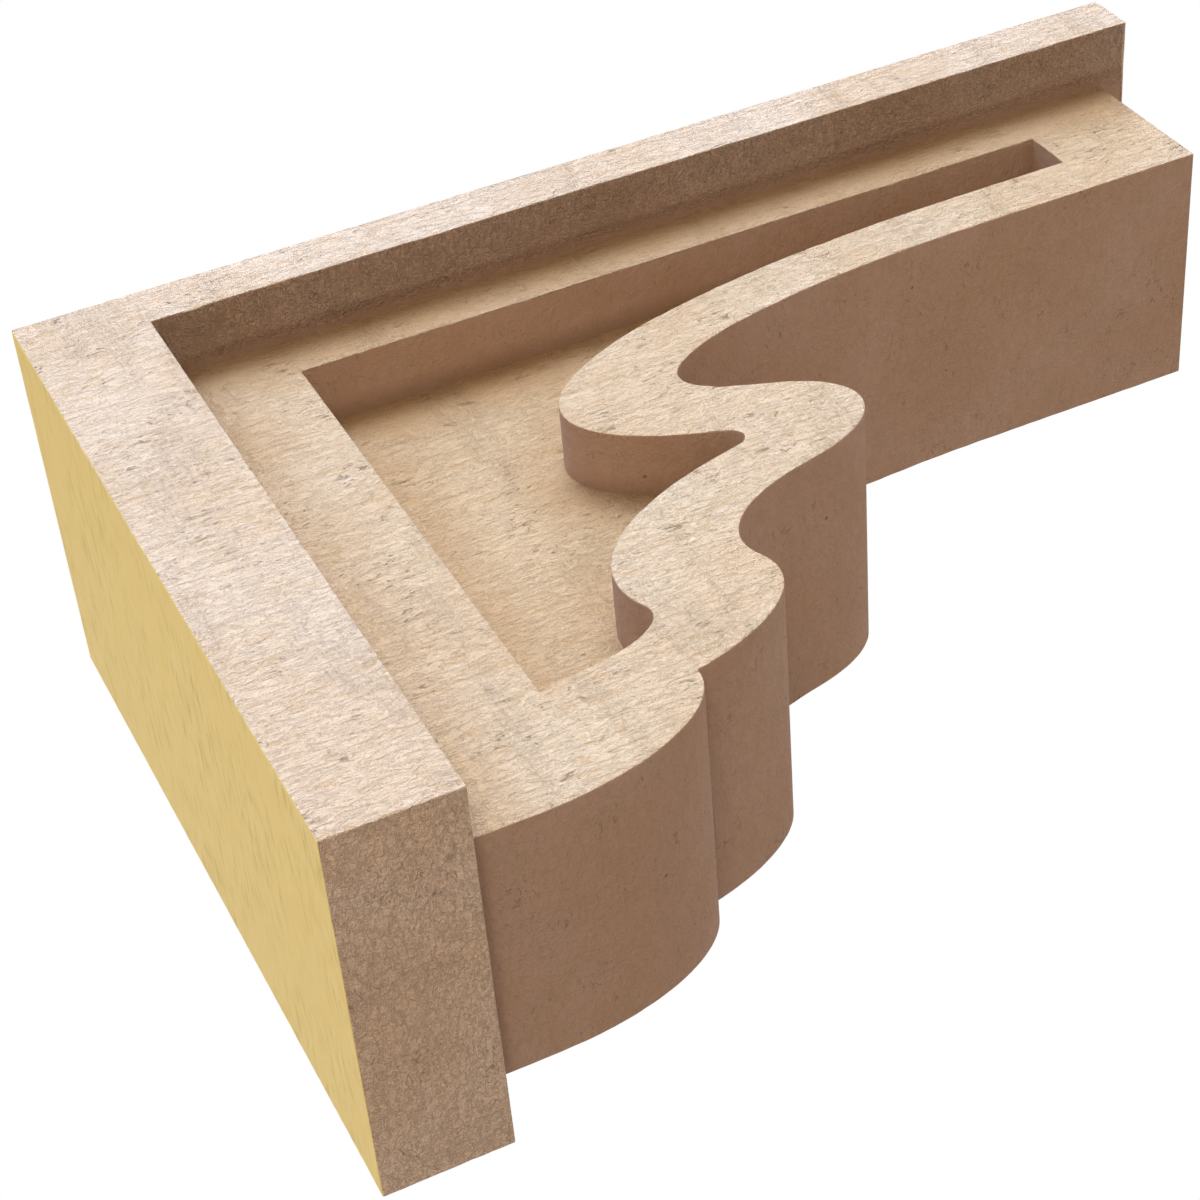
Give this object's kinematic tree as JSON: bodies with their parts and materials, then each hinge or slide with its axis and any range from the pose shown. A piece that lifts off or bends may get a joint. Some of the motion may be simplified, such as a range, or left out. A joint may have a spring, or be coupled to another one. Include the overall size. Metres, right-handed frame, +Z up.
{
  "type": "urethane corbel",
  "caption": "Rough-sawn urethane corbel: a scrolled bracket with recessed side panels under a long top plate, fixed to a wall by its flat back.",
  "frame": {"origin": "centre of the flat back, where the corbel meets the wall", "axes": "+Y into the wall, so the corbel projects towards -Y; +Z up; X across the width"},
  "size_m": [0.1524, 0.4572, 0.3048],
  "materials": {
    "primed_urethane": "factory primed in tan over a rough-sawn timber texture, matt, with raw yellow foam on the back"
  },
  "bodies": {
    "root": {"corbel": "primed_urethane"}
  },
  "joints": []
}
